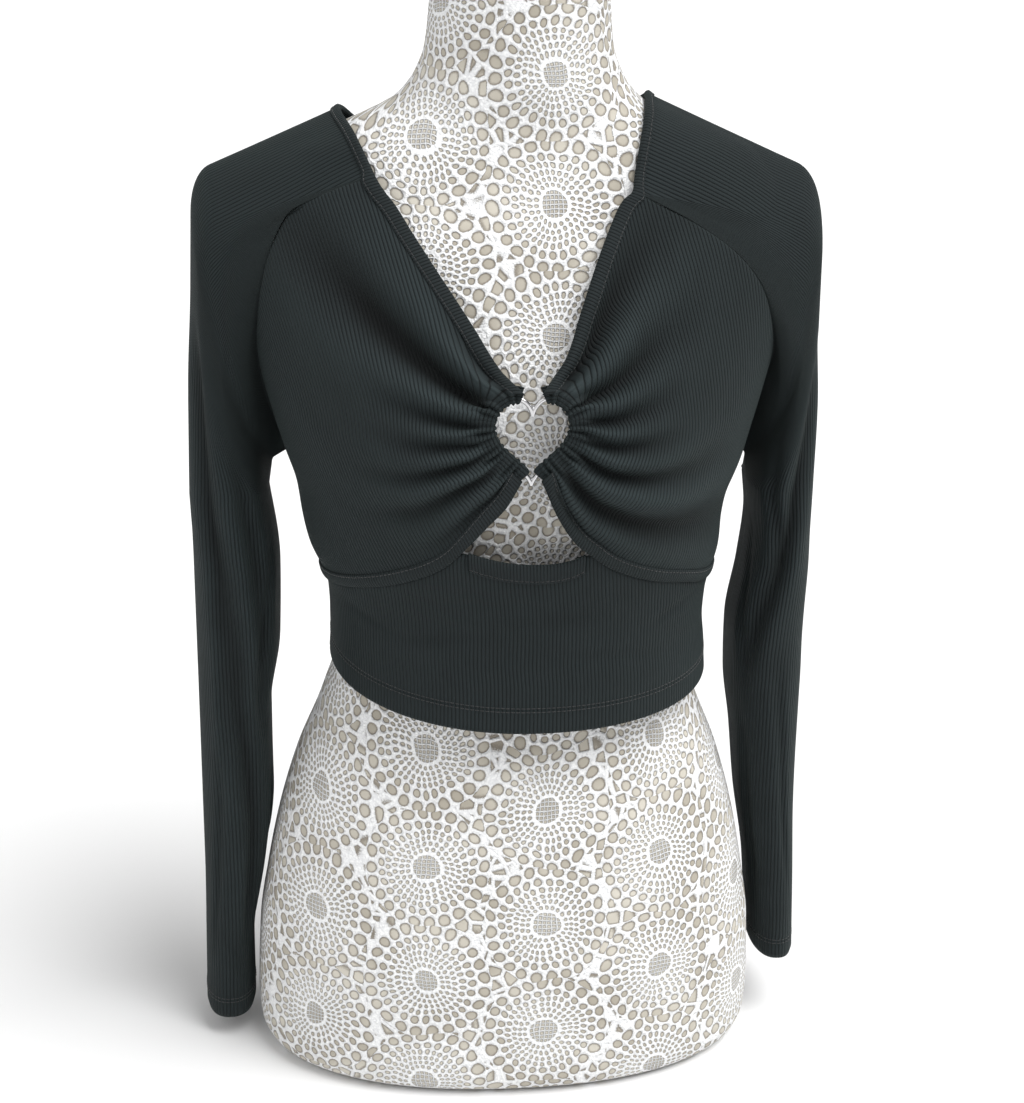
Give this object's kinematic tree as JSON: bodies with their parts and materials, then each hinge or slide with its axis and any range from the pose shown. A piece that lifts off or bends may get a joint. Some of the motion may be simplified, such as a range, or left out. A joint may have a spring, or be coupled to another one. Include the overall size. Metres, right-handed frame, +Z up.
{
  "type": "long-sleeved crop top on a dress form",
  "caption": "Rib-knit crop top with raglan sleeves, a deep V neck, gathered bust panels folded round a heart ring and a keyhole above the band, worn by a limbless dress form.",
  "frame": {"origin": "middle of the dress form's flat base", "axes": "+Z up the form, -Y the garment's front, +X the wearer's left"},
  "size_m": [0.426, 0.2302, 0.747],
  "materials": {
    "form_cover": "white crocheted medallions over beige linen",
    "rib_knit": "near-black narrow rib knit with a soft sheen",
    "binding": "the same knit, folded, with the ribs across the strip",
    "ring_metal": "polished nickel-coloured wire"
  },
  "bodies": {
    "root": {"dress_form": "form_cover", "heart_ring": "ring_metal", "bust_right": "rib_knit", "bust_left": "rib_knit", "band_front": "rib_knit", "back": "rib_knit", "sleeve_right": "rib_knit", "sleeve_left": "rib_knit", "bust_binding_right": "binding", "bust_binding_left": "binding", "keyhole_binding": "binding", "neck_binding": "binding"}
  },
  "joints": []
}
